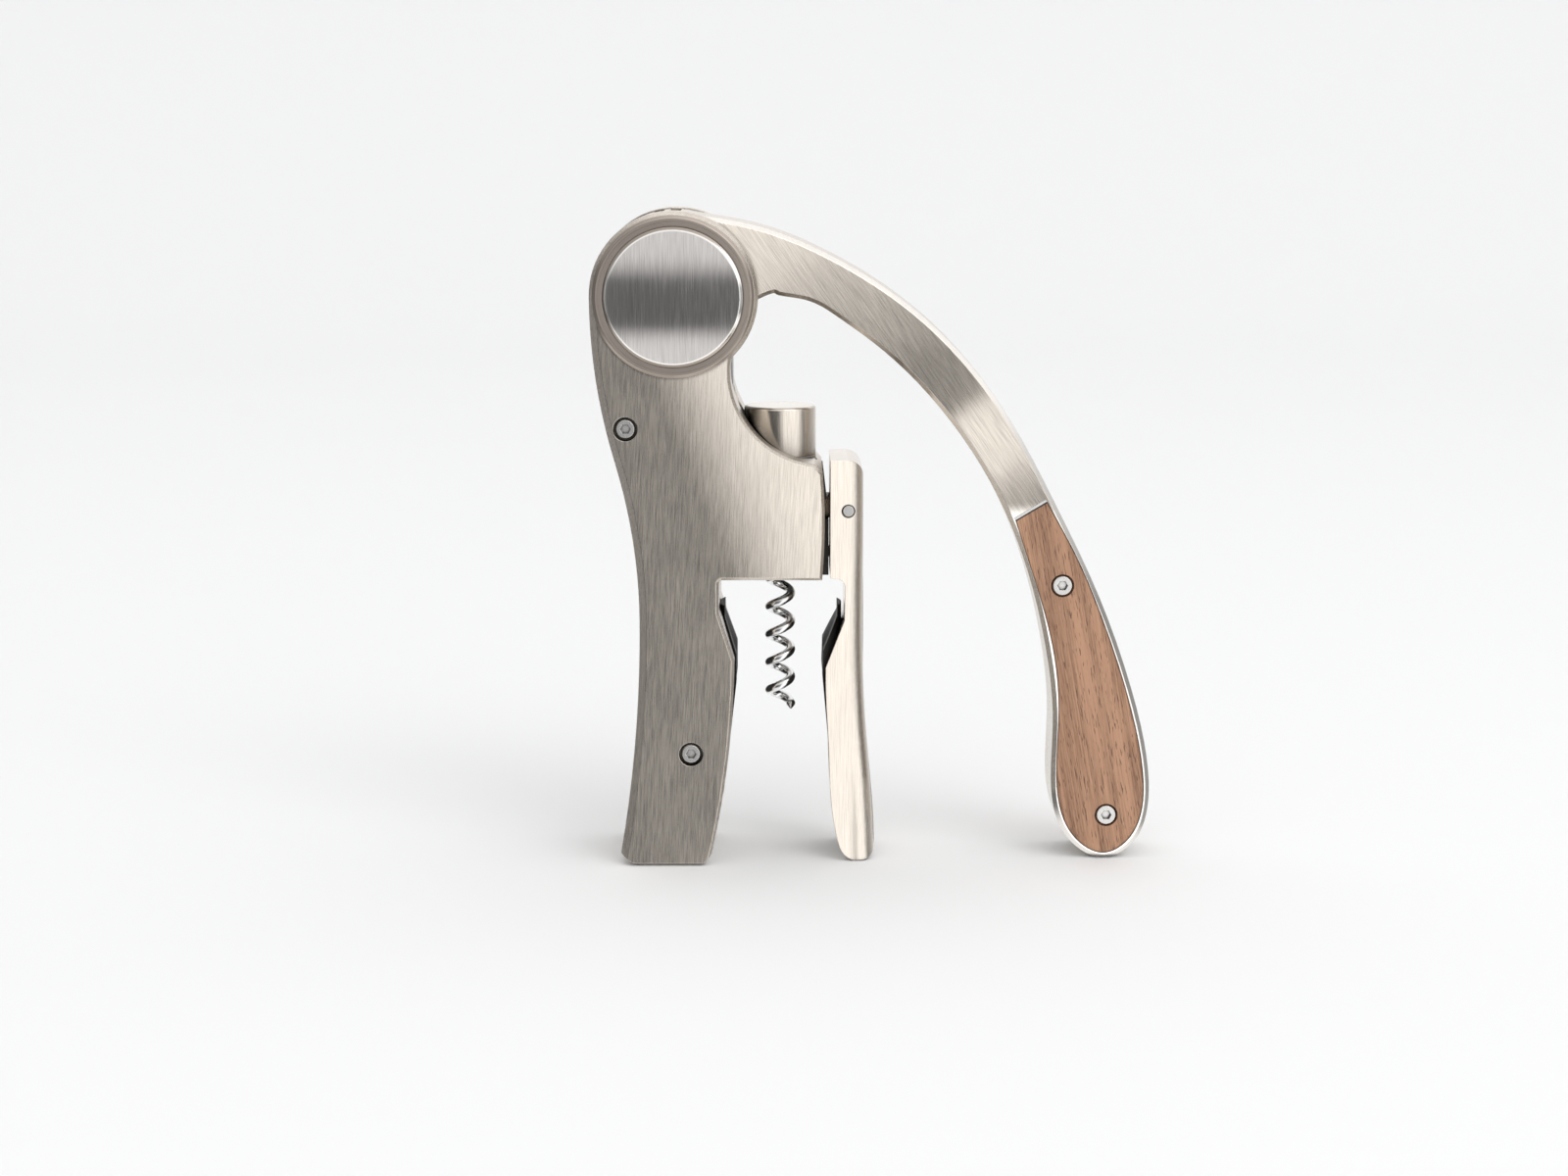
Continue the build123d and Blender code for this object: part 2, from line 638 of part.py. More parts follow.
with BuildPart() as worm_nut:
    with BuildSketch(Plane.XY):
        Circle(NUT_R)
    extrude(amount=NUT_TOP_Z)
    with BuildSketch(Plane.XY):
        Circle(NUT_FLANGE_R)
    extrude(amount=NUT_FLANGE_T)
    with BuildSketch(Plane.XY):
        Circle(2)
    extrude(amount=NUT_TOP_Z, mode=Mode.SUBTRACT)
    with BuildLine() as groove_run:
        Helix(LEAD, 2.5 * LEAD, WORM_R, center=(0, 0, WORM_TIP_Z + 4 * LEAD))
    with BuildSketch(Plane(origin=groove_run.line @ 0, z_dir=groove_run.line % 0)):
        Circle(WIRE_R + 0.3)
    sweep(path=groove_run.line, is_frenet=True, mode=Mode.SUBTRACT)
    with BuildSketch(Plane.XY):
        with Locations((0, -9), (0, 9)):
            Circle(0.7)
    extrude(amount=NUT_FLANGE_T, mode=Mode.SUBTRACT)
    with BuildSketch(Plane.XY):
        with Locations((0, -9), (0, 9)):
            Circle(1.2)
    extrude(amount=0.9, mode=Mode.SUBTRACT)
save(worm_nut, "worm_nut")

with BuildPart() as nut_screws:
    with BuildSketch(Plane.XY.offset(0.1)):
        with Locations((0, -9), (0, 9)):
            Circle(1.2)
    extrude(amount=0.8)
    with BuildSketch(Plane.XY.offset(0.9)):
        with Locations((0, -9), (0, 9)):
            Circle(0.7)
    extrude(amount=6)
save(nut_screws, "nut_screws")

# ---- jaw ----
with BuildPart() as jaw:
    with BuildSketch(Plane.XZ):
        with BuildLine():
            Line((JAW_IN_X, 32.6), (18.5, 32.6))
            ThreePointArc((18.5, 32.6), (21.7, 31.3), (23.0, 28.1))
            Line((23.0, 28.1), (23.2, -25.0))
            Spline((23.2, -25.0), (24.0, -42.0), (25.6, -60.0), (26.5, -76.0), tangents=[(0, -1), (0, -1)])
            Spline((26.5, -76.0), (25.2, -80.0), (22.5, JAW_LOW_Z), tangents=[(0, -1), (-1, 0)])
            Line((22.5, JAW_LOW_Z), (20.4, JAW_LOW_Z))
            Spline((20.4, JAW_LOW_Z), (17.6, -78.6), (16.0, -74.5), (14.2, -63.0), (13.6, -48.6),
                   (12.9, -36.4), (12.7, -25.5))
            Line((12.7, -25.5), (17.9, -12.2))
            Line((17.9, -12.2), (18.0, -3.0))
            ThreePointArc((18.0, -3.0), (17.3, -1.2), (15.6, -0.5))
            Line((15.6, -0.5), (JAW_IN_X, -0.3))
            Line((JAW_IN_X, -0.3), (JAW_IN_X, 32.6))
        make_face()
    extrude(amount=JAW_HALF)
    # rounded outer edge, then the rear half
    with BuildLine(upright(-JAW_HALF)) as jaw_run:
        Spline((27.0, -90.0), (26.3, -74.0), (25.5, -60.0), (24.0, -42.0), (23.2, -25.0),
               (23.1, 0), (23.0, 40.0))
    with BuildSketch(Plane.XY.offset(-90)):
        with Locations((27.0 - JAW_EDGE_R / 2 + 1, -JAW_HALF + JAW_EDGE_R / 2 - 1)):
            Rectangle(JAW_EDGE_R + 2, JAW_EDGE_R + 2)
        with Locations((27.0 - JAW_EDGE_R, -JAW_HALF + JAW_EDGE_R)):
            Circle(JAW_EDGE_R, mode=Mode.SUBTRACT)
    sweep(path=jaw_run.line, mode=Mode.SUBTRACT)
    mirror(about=Plane.XZ)
    # hollow round the bottle's neck
    with BuildSketch(Plane.XZ):
        with BuildLine():
            Polyline((0, -0.3), (PAD_R, -0.3), (PAD_R, PAD_LOW_Z), (FOOT_R, FLOOR_Z - 1),
                     (0, FLOOR_Z - 1), close=True)
        make_face()
    revolve(axis=Axis.Z, mode=Mode.SUBTRACT)
    # slot for the housing's lug, and the pin's hole
    with BuildSketch(Plane.XZ):
        with Locations(JAW_PIN):
            Circle(LUG_R + 0.35)
        with Locations((JAW_PIN[0] - 3, JAW_PIN[1])):
            Rectangle(6, 8)
    extrude(amount=LUG_HALF + 0.3, both=True, mode=Mode.SUBTRACT)
    with BuildSketch(Plane.XZ):
        with Locations(JAW_PIN):
            Circle(JAW_PIN_R)
    extrude(amount=JAW_HALF, both=True, mode=Mode.SUBTRACT)
    for side in (-1, 1):
        with BuildSketch(upright(side * (JAW_HALF - 1))):
            with Locations(JAW_PIN):
                Circle(1.9)
        extrude(amount=-side * 2, mode=Mode.SUBTRACT)
    with BuildSketch(Plane.YZ.offset(JAW_IN_X)):
        with Locations((0, SPRING_Z)):
            Circle(2.8)
    extrude(amount=5, mode=Mode.SUBTRACT)
save(jaw, "jaw")

with BuildPart() as jaw_pin:
    with BuildSketch(Plane.XZ):
        with Locations(JAW_PIN):
            Circle(JAW_PIN_R)
    extrude(amount=JAW_HALF - 0.5, both=True)
save(jaw_pin, "jaw_pin")

with BuildPart() as jaw_spring:
    with BuildLine() as coil_run:
        Helix(1.6, 9.0, 1.7, center=(9.4, 0, SPRING_Z), direction=(1, 0, 0))
    with BuildSketch(Plane(origin=coil_run.line @ 0, z_dir=coil_run.line % 0)):
        Circle(0.3)
    sweep(path=coil_run.line, is_frenet=True)
save(jaw_spring, "jaw_spring")


with BuildPart() as jaw_buffer:
    with BuildSketch(Plane.XZ):
        with BuildLine():
            ThreePointArc((11.7, 29.8), (12.3, 16.0), (11.6, 0))
            Polyline((11.6, 0), (13.5, 0), (13.5, 17.0), (12.0, 29.8), (11.7, 29.8))
        make_face()
        with Locations((JAW_PIN[0] / 2, JAW_PIN[1])):
            Rectangle(JAW_PIN[0], 2 * LUG_R, mode=Mode.SUBTRACT)
    extrude(amount=9, both=True)
    with BuildSketch(Plane.YZ.offset(10)):
        with Locations((0, SPRING_Z)):
            Circle(2.8)
    extrude(amount=5, mode=Mode.SUBTRACT)
save(jaw_buffer, "jaw_buffer")


# ---- neck pads and buffer ----
def neck_liner():
    """The whole turned liner, of which each pad is a part."""
    with BuildPart() as liner:
        with BuildSketch(Plane.XZ):
            with BuildLine():
                Polyline((PAD_R - 0.6, PAD_TOP_Z), (NECK_R + 0.2, -23), (NECK_R, -26), (NECK_R, -46),
                         (PAD_R - 0.8, PAD_LOW_Z), (PAD_R, PAD_LOW_Z), (PAD_R, PAD_TOP_Z), close=True)
            make_face()
        revolve(axis=Axis.Z)
    return liner.part


with BuildPart() as neck_pad:
    add(neck_liner())
    with BuildSketch(Plane.XZ):
        Polygon((-30, 0), (-15.5, 0), (-15.5, -12), (-12.2, -22), (-12.2, -30), (-14, -46),
                (-16.4, -64), (-30, -64), align=None)
    extrude(amount=20, both=True, mode=Mode.INTERSECT)
save(neck_pad, "neck_pad")

with BuildPart() as jaw_pad:
    add(neck_liner())
    with BuildSketch(Plane.XZ):
        Polygon((30, 0), (16, 0), (16, -12), (12, -21), (11.8, -28), (13.6, -48),
                (14.6, -64), (30, -64), align=None)
    extrude(amount=12.6, both=True, mode=Mode.INTERSECT)
save(jaw_pad, "jaw_pad")

with BuildPart() as lever_buffer:
    with BuildSketch(Plane.XZ):
        with Locations((-45.6, 55.6)):
            Circle(2)
    extrude(amount=6, both=True)
save(lever_buffer, "lever_buffer")
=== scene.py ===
import json
import math

import bpy
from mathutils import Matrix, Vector


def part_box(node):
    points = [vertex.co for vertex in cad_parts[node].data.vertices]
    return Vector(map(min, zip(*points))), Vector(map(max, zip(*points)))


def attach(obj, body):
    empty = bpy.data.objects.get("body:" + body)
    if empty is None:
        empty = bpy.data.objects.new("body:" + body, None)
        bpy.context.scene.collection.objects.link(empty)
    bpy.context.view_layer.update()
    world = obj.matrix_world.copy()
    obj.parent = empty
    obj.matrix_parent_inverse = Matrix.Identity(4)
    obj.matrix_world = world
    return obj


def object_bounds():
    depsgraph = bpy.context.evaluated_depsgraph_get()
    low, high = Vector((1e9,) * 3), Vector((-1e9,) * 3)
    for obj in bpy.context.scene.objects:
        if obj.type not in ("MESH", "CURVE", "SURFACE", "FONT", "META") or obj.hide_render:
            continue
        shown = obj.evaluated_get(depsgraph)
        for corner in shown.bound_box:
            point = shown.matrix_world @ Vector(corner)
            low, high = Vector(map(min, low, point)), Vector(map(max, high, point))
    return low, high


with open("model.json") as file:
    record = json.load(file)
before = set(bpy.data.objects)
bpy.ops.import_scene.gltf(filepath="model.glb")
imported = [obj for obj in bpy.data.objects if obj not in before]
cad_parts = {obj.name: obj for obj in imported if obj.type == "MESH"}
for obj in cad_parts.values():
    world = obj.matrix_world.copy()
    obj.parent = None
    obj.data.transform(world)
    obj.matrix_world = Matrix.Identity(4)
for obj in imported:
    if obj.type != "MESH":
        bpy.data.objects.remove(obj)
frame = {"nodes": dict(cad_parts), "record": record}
cad_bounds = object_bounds()
MM = 0.001

# ---- places taken from the frame ----
disc_low, disc_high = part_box("hub_disc_front")
HUB_X = (disc_low.x + disc_high.x) / 2
HUB_Z = (disc_low.z + disc_high.z) / 2
DISC_R = (disc_high.x - disc_low.x) / 2
WOOD_TOP_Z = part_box("handle_scale_front")[1].z
ARM_HALF = abs(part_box("lever_arm")[0].y)
FLOOR_Z = cad_bounds[0].z

# directions of brushing and grain, in degrees from +Z towards +X
BODY_BRUSH = 3
ARM_BRUSH = -35
UPRIGHT = 0
GRAIN_LEAN = -10

# sizes of the marks that each finish leaves: fine ones, and the broader ones under them
BRUSHED = (0.17 * MM, 0.17 * MM, 7 * MM), (0.7 * MM, 0.7 * MM, 26 * MM)
TURNED = (0.16 * MM, 2 * MM, 1 * MM), (1.2 * MM, 6 * MM, 1 * MM)
PLAIN = (0.15 * MM, 0.15 * MM, 0.15 * MM), (2 * MM, 2 * MM, 2 * MM)
FINE_SHARE = 0.78
SMUDGE = (14 * MM, 14 * MM, 19 * MM)
SMUDGE_LEAN = 20

# noise stays mostly between these two values
NOISE_LOW = 0.3
NOISE_HIGH = 0.7

SCRATCH_DEPTH = 0.012 * MM
RAY_SAMPLES = 6          # of the edge and crevice nodes
# colour of the polished rims and bevels, lighter than the nickel: a painted highlight
POLISH_HIGHLIGHT = (0.86, 0.84, 0.81, 1)
POLISH_SMOOTHS = 0.6     # share of the roughness that polishing takes away
RIM_HEIGHT = 6 * MM      # over which the arm's polish grows below the wood's top
BEVEL_POLISH = 0.6
CHAMFER = 1.3 * MM       # on the hub disc
CHAMFER_BLEND = 0.3 * MM

# the arm's sideways lean at points along it, in metres from the frame's origin
ARM_ROLLS = (
    (-0.026, -0.05), (-0.013, 0.02), (-0.004, 0.3), (0.004, 0.22), (0.012, -0.12),
    (0.03, -0.05), (0.052, 0.04), (0.065, 0.06), (0.08, 0.22),
)
ARM_RANGE = -0.03, 0.085
LEVEL_ROLL = 0.5         # the grey that stands for no lean
RIM_ROLL = 0.24

# the jaw's lean, which ends where its outer edge is rounded
JAW_EDGE = 0.0185, 0.0215
JAW_LEANS = 0.22, 0.02

WOOD_DARK = (0.2, 0.098, 0.052, 1)
WOOD_LIGHT = (0.5, 0.275, 0.165, 1)
WOOD_CLOUD = (0.3, 0.155, 0.088, 1)
WOOD_FIBRE = (0.58, 0.36, 0.24, 1)
WOOD_PORE = (0.085, 0.038, 0.022, 1)

SHALLOW = 28             # degrees: edges sharper than this stay sharp

# the surround's brightness by azimuth, in degrees from -Y towards +X
STUDIO_BANDS = (
    (-180, 0.75), (-125, 0.6), (-90, 0.12), (-25, 0.11), (-4, 0.17),
    (14, 1.0), (58, 1.0), (80, 0.16), (120, 0.4), (180, 0.75),
)
STUDIO_GAIN = 1.6
ABOVE_GAIN = 1.3
ABOVE_LEFT = 0.45        # how much of the light above there is at the left
BELOW_GAIN = 1.15

materials = {}


# ---- node helpers ----
def put(tree, value, socket):
    """Links a socket to a socket, or sets a plain value on it."""
    if isinstance(value, bpy.types.NodeSocket):
        tree.links.new(value, socket)
    else:
        socket.default_value = value


def node(tree, kind, settings=None, **values):
    """A new shader node, with its settings and its inputs by name."""
    made = tree.nodes.new("ShaderNode" + kind)
    for name, value in (settings or {}).items():
        setattr(made, name, value)
    for name, value in values.items():
        put(tree, value, made.inputs[name.replace("_", " ")])
    return made


def calc(tree, operation, first, second=0.0):
    """One sum on two numbers."""
    made = node(tree, "Math", {"operation": operation})
    put(tree, first, made.inputs[0])
    put(tree, second, made.inputs[1])
    return made.outputs[0]


def vector(tree, operation, first, second=(0, 0, 0)):
    """One sum on two vectors."""
    made = node(tree, "VectorMath", {"operation": operation})
    put(tree, first, made.inputs[0])
    put(tree, second, made.inputs[1])
    return made.outputs[0]


def remap(tree, value, low, high, to_low=0.0, to_high=1.0, smooth=True):
    """Takes low..high to to_low..to_high, and holds it there beyond them."""
    kind = "SMOOTHSTEP" if smooth else "LINEAR"
    made = node(tree, "MapRange", {"interpolation_type": kind})
    for index, number in enumerate((value, low, high, to_low, to_high)):
        put(tree, number, made.inputs[index])
    return made.outputs[0]


def mix(tree, share, first, second):
    """The first colour, with that share of the second in it."""
    made = node(tree, "Mix", {"data_type": "RGBA"})
    put(tree, share, made.inputs[0])
    put(tree, first, made.inputs[6])
    put(tree, second, made.inputs[7])
    return made.outputs[2]


def curve(tree, value, low, high, points, kind="LINEAR"):
    """Reads a grey level off a line through points (value, level)."""
    made = node(tree, "ValToRGB")
    made.color_ramp.interpolation = kind
    put(tree, remap(tree, value, low, high, smooth=False), made.inputs[0])
    stops = made.color_ramp.elements
    while len(stops) < len(points):
        stops.new(0.5)
    for stop, (position, level) in zip(stops, points):
        stop.position = (position - low) / (high - low)
        stop.color = (level, level, level, 1)
    return made.outputs[0]


def place(tree):
    """The point's position in the frame with the piece at rest, in metres."""
    return node(tree, "TexCoord").outputs["Object"]


def parts_of(tree, point):
    """The point's x, y and z."""
    return node(tree, "SeparateXYZ", Vector=point).outputs


def from_axis(tree, point, centre):
    """The way from an axis along y to the point, and how far that is."""
    x, _, z = parts_of(tree, point)
    across = calc(tree, "SUBTRACT", x, centre[0])
    up = calc(tree, "SUBTRACT", z, centre[1])
    way = node(tree, "CombineXYZ", X=across, Z=up).outputs[0]
    radius = node(tree, "VectorMath", {"operation": "LENGTH"})
    put(tree, way, radius.inputs[0])
    return way, radius.outputs["Value"]


def noise(tree, point, size, lean=0, detail=3, seed=(0, 0, 0)):
    """Noise with a grain of that size in metres along x, y and z, leaning from +Z to +X."""
    turned = node(tree, "Mapping", {"vector_type": "TEXTURE"}, Vector=point)
    turned.inputs["Location"].default_value = seed
    turned.inputs["Rotation"].default_value = (0, math.radians(lean), 0)
    turned.inputs["Scale"].default_value = size
    made = node(tree, "TexNoise", Vector=turned.outputs[0], Scale=1, Detail=detail)
    return made.outputs[0]


def to_world(tree, direction):
    """A direction in the piece's own space, turned with the piece."""
    settings = {"vector_type": "VECTOR", "convert_from": "OBJECT", "convert_to": "WORLD"}
    turned = node(tree, "VectorTransform", settings)
    put(tree, direction, turned.inputs[0])
    return turned.outputs[0]


def new_material(name):
    """A new material, kept by its name in materials. Returns its node tree and its shader."""
    material = bpy.data.materials.new(name)
    material.use_nodes = True
    tree = material.node_tree
    tree.nodes.clear()
    shader = tree.nodes.new("ShaderNodeBsdfPrincipled")
    out = tree.nodes.new("ShaderNodeOutputMaterial")
    tree.links.new(shader.outputs[0], out.inputs[0])
    materials[name] = material
    return tree, shader


def shade(colour, factor):
    """The colour made lighter or darker."""
    return tuple(channel * factor for channel in colour) + (1,)


# ---- metal ----
def marks(tree, point, lean, turned):
    """The finish's fine marks, the broader ones, and the direction in which it spreads highlights."""
    if turned:
        way, radius = from_axis(tree, point, turned)
        lines = node(tree, "CombineXYZ", X=radius, Y=parts_of(tree, point)[1]).outputs[0]
        fine = noise(tree, lines, TURNED[0], detail=4)
        broad = noise(tree, lines, TURNED[1], detail=2)
        return fine, broad, vector(tree, "NORMALIZE", way)
    if lean is None:
        return noise(tree, point, PLAIN[0], detail=4), noise(tree, point, PLAIN[1], detail=3), None
    fine = noise(tree, point, BRUSHED[0], lean, detail=4)
    broad = noise(tree, point, BRUSHED[1], lean, detail=3, seed=(0.3, 0.1, 0.2))
    along = (math.sin(math.radians(lean)), 0, math.cos(math.radians(lean)))
    normal = node(tree, "NewGeometry").outputs["Normal"]
    across = vector(tree, "CROSS_PRODUCT", normal, to_world(tree, along))
    # a little of another direction, for faces that look along the brushing
    return fine, broad, vector(tree, "ADD", across, (0.01, 0.01, 0))


def metal(
    name, colour, rough=0.3, lean=None, turned=None, aniso=0.6, tilt=None, tone=0.12, wear=0.03,
    polished=None, edge=0.3 * MM, crevice=1.6 * MM, painted_shade_level=0.3,
):
    """Brushed along a leaning line, or turned round a centre in the x-z plane, or neither.

    tilt gives the surface a slight crown: a function of the tree and the point that returns an
    object-space vector. polished is one that returns how polished the surface is, 0 to 1.
    """
    tree, shader = new_material(name)
    point = place(tree)
    fine, broad, spread = marks(tree, point, lean, turned)
    smudge = noise(tree, point, SMUDGE, SMUDGE_LEAN, detail=4, seed=(0.7, 0.2, 0.5))

    fine_part = calc(tree, "MULTIPLY", fine, FINE_SHARE)
    broad_part = calc(tree, "MULTIPLY", broad, 1 - FINE_SHARE)
    tones = remap(tree, calc(tree, "ADD", fine_part, broad_part), NOISE_LOW, NOISE_HIGH, smooth=False)
    base = mix(tree, tones, shade(colour, 1 - tone), shade(colour, 1 + tone / 2))
    grind = remap(tree, fine, NOISE_LOW, NOISE_HIGH, rough * 0.82, rough * 1.18, smooth=False)
    roughness = calc(tree, "ADD", grind, remap(tree, smudge, 0.35, NOISE_HIGH, -wear / 2, wear))
    # where polished: smoother, which is real, and lighter in colour, which is a painted highlight
    if polished:
        polish_and_highlight = polished(tree, point)
        base = mix(tree, polish_and_highlight, base, POLISH_HIGHLIGHT)
        kept = calc(tree, "SUBTRACT", 1, calc(tree, "MULTIPLY", polish_and_highlight, POLISH_SMOOTHS))
        roughness = calc(tree, "MULTIPLY", roughness, kept)
    # painted shade: the colour goes darker where the surface is hemmed in, in crevices, sockets, recesses and
    # gaps, where shade falls
    open_sky = node(tree, "AmbientOcclusion", {"samples": RAY_SAMPLES}, Distance=crevice).outputs["AO"]
    base = mix(tree, remap(tree, open_sky, 0.35, 0.85), shade(colour, painted_shade_level * 0.5), base)
    put(tree, base, shader.inputs["Base Color"])
    shader.inputs["Metallic"].default_value = 1
    put(tree, roughness, shader.inputs["Roughness"])
    if spread is not None:
        shader.inputs["Anisotropic"].default_value = aniso
        put(tree, spread, shader.inputs["Tangent"])

    if edge:
        normal = node(tree, "Bevel", {"samples": RAY_SAMPLES}, Radius=edge).outputs[0]
    else:
        normal = node(tree, "NewGeometry").outputs["Normal"]
    if tilt:
        normal = vector(tree, "ADD", normal, to_world(tree, tilt(tree, point)))
        normal = vector(tree, "NORMALIZE", normal)
    bump = node(tree, "Bump", Height=tones, Strength=0.5, Distance=SCRATCH_DEPTH, Normal=normal)
    put(tree, bump.outputs[0], shader.inputs["Normal"])


# ---- crowns: how far each face leans from flat ----
def crown(centre, per_metre, rise=0.4, left=-0.06, right=0.3):
    """Leans the surface sideways in proportion to its distance from a line that is nearly upright."""
    def tilt(tree, point):
        x, _, z = parts_of(tree, point)
        across = calc(tree, "ADD", x, calc(tree, "MULTIPLY", z, rise))
        lean = calc(tree, "MULTIPLY", calc(tree, "SUBTRACT", across, centre), per_metre)
        lean = calc(tree, "MAXIMUM", calc(tree, "MINIMUM", lean, right), left)
        return node(tree, "CombineXYZ", X=lean).outputs[0]
    return tilt


def dome(centre_z, per_metre, sideways):
    """Leans the surface up and down in proportion to its distance from a level line."""
    def tilt(tree, point):
        z = parts_of(tree, point)[2]
        lean = calc(tree, "MULTIPLY", calc(tree, "SUBTRACT", z, centre_z), per_metre)
        return node(tree, "CombineXYZ", X=sideways, Z=lean).outputs[0]
    return tilt


def arm_roll(tree, point):
    """The arm's face rolls from side to side along its length, as forged and hand-ground."""
    x, _, z = parts_of(tree, point)
    lean = math.radians(ARM_BRUSH)
    along_x = calc(tree, "MULTIPLY", x, math.sin(lean))
    along_z = calc(tree, "MULTIPLY", z, math.cos(lean))
    along = calc(tree, "ADD", along_x, along_z)
    levels = [(position, roll + LEVEL_ROLL) for position, roll in ARM_ROLLS]
    roll = calc(tree, "SUBTRACT", curve(tree, along, *ARM_RANGE, levels, "B_SPLINE"), LEVEL_ROLL)
    roll = calc(tree, "MULTIPLY", roll, remap(tree, facing(tree), 0.8, 0.9))
    roll = mix(tree, handle_rim(tree, point), roll, (RIM_ROLL, RIM_ROLL, RIM_ROLL, 1))
    return node(tree, "CombineXYZ", X=node(tree, "SeparateColor", Color=roll).outputs[0]).outputs[0]


def jaw_round(tree, point):
    """The jaw's face leans outwards, up to where its outer edge is rounded."""
    x = parts_of(tree, point)[0]
    return node(tree, "CombineXYZ", X=remap(tree, x, *JAW_EDGE, *JAW_LEANS)).outputs[0]


# ---- where each metal is polished and painted lighter as a highlight ----
def disc_rim(tree, point):
    """1 on the hub disc's polished chamfer."""
    radius = from_axis(tree, point, (HUB_X, HUB_Z))[1]
    return remap(tree, radius, DISC_R - CHAMFER, DISC_R - CHAMFER + CHAMFER_BLEND)


def facing(tree):
    """How squarely the surface faces the front or the back, whatever way the lever is turned."""
    normal = node(tree, "NewGeometry").outputs["True Normal"]
    return calc(tree, "ABSOLUTE", parts_of(tree, normal)[1])


def handle_rim(tree, point):
    """1 on the rim that runs round the wood, 0 on the arm above it."""
    below_top = remap(tree, parts_of(tree, point)[2], WOOD_TOP_Z, WOOD_TOP_Z - RIM_HEIGHT)
    return calc(tree, "MULTIPLY", below_top, remap(tree, facing(tree), 0.85, 0.95))


def arm_polish(tree, point):
    """The rim round the wood, and the arm's bevels."""
    square = facing(tree)
    bevel = calc(tree, "MULTIPLY", remap(tree, square, 0.55, 0.62), remap(tree, square, 0.85, 0.78))
    bevel = calc(tree, "MULTIPLY", bevel, BEVEL_POLISH)
    return calc(tree, "MAXIMUM", handle_rim(tree, point), bevel)


# ---- wood, nylon and rubber ----
def soft(name, colour, rough, grain, bump):
    """Moulded nylon or rubber with a fine texture."""
    tree, shader = new_material(name)
    point = place(tree)
    fine = noise(tree, point, (grain,) * 3, detail=5)
    broad = noise(tree, point, (9 * MM,) * 3, detail=3)
    put(tree, mix(tree, broad, shade(colour, 0.75), shade(colour, 1.4)), shader.inputs["Base Color"])
    roughness = remap(tree, fine, NOISE_LOW, NOISE_HIGH, rough - 0.08, rough + 0.08)
    put(tree, roughness, shader.inputs["Roughness"])
    relief = node(tree, "Bump", Height=fine, Strength=bump, Distance=0.05 * MM)
    put(tree, relief.outputs[0], shader.inputs["Normal"])


def walnut(name):
    """Oiled walnut with its grain along the handle: growth bands, fine streaks and short open pores."""
    tree, shader = new_material(name)
    point = place(tree)

    def grain(size, detail, seed=(0, 0, 0)):
        return noise(tree, point, [length * MM for length in size], GRAIN_LEAN, detail, seed)

    cloud = grain((9, 9, 60), 2)
    bands = grain((2.6, 7, 90), 3, (0.02, 0, 0.4))
    streak = grain((0.42, 0.8, 16), 4, (0.5, 0.3, 0.1))
    fibre = grain((0.13, 0.13, 3), 3, (0.1, 0.9, 0.6))
    pores = remap(tree, grain((0.3, 0.3, 3.6), 1, (0.8, 0.4, 0.3)), 0.63, 0.7)
    figure = calc(tree, "ADD", calc(tree, "MULTIPLY", bands, 0.55), calc(tree, "MULTIPLY", streak, 0.45))
    figure = remap(tree, figure, 0.38, 0.6, smooth=False)
    wood = mix(tree, figure, WOOD_DARK, WOOD_LIGHT)
    wood = mix(tree, remap(tree, cloud, 0.42, 0.62, 0, 0.3), wood, WOOD_CLOUD)
    wood = mix(tree, remap(tree, fibre, 0.4, 0.7, 0, 0.3), wood, WOOD_FIBRE)
    wood = mix(tree, calc(tree, "MULTIPLY", pores, 0.8), wood, WOOD_PORE)
    put(tree, wood, shader.inputs["Base Color"])
    put(tree, remap(tree, figure, 0, 1, 0.56, 0.42), shader.inputs["Roughness"])
    relief = calc(tree, "SUBTRACT", calc(tree, "MULTIPLY", fibre, 0.4), pores)
    bump = node(tree, "Bump", Height=relief, Strength=0.5, Distance=0.08 * MM)
    put(tree, bump.outputs[0], shader.inputs["Normal"])


NICKEL = (0.64, 0.585, 0.52)
LEVER_NICKEL = shade(NICKEL, 0.92)[:3]
JAW_NICKEL = shade(NICKEL, 1.08)[:3]
DARK_NICKEL = (0.43, 0.375, 0.33)
DISC_STEEL = (0.6, 0.575, 0.56)
SCREW_STEEL = (0.78, 0.77, 0.75)
MACHINED_STEEL = (0.5, 0.5, 0.5)
WIRE_STEEL = (0.68, 0.68, 0.68)
BRONZE = (0.6, 0.45, 0.25)
NYLON = (0.028, 0.027, 0.026)
RUBBER = (0.022, 0.021, 0.02)

metal("satin_nickel", NICKEL, 0.27, BODY_BRUSH, tilt=crown(-0.008, 11), tone=0.36)
metal("lever_nickel", LEVER_NICKEL, 0.26, ARM_BRUSH, tilt=arm_roll, tone=0.36, polished=arm_polish)
metal("jaw_nickel", JAW_NICKEL, 0.22, UPRIGHT, tilt=jaw_round, tone=0.2)
# painted shade: the long reach darkens the head's part next to the housing
metal("head_nickel", NICKEL, 0.17, UPRIGHT, aniso=0.2, tone=0.24, crevice=14 * MM, painted_shade_level=0.5)
metal("flange_nickel", DARK_NICKEL, 0.3, turned=(HUB_X, HUB_Z), tone=0.2)
disc_dome = dome(HUB_Z, 26, -0.14)
metal("disc_steel", DISC_STEEL, 0.2, UPRIGHT, aniso=0.3, tilt=disc_dome, tone=0.26, polished=disc_rim)
# painted shade darkens the screw's socket
metal("screw_steel", SCREW_STEEL, 0.16, edge=0.15 * MM, crevice=1.1 * MM, painted_shade_level=0.2)
metal("machined_steel", MACHINED_STEEL, 0.34, UPRIGHT)
metal("worm_steel", WIRE_STEEL, 0.16, edge=0)
metal("bush_bronze", BRONZE, 0.42, edge=0)
walnut("walnut")
soft("black_nylon", NYLON, 0.42, 0.25 * MM, 0.2)
soft("pad_rubber", RUBBER, 0.62, 0.4 * MM, 0.4)


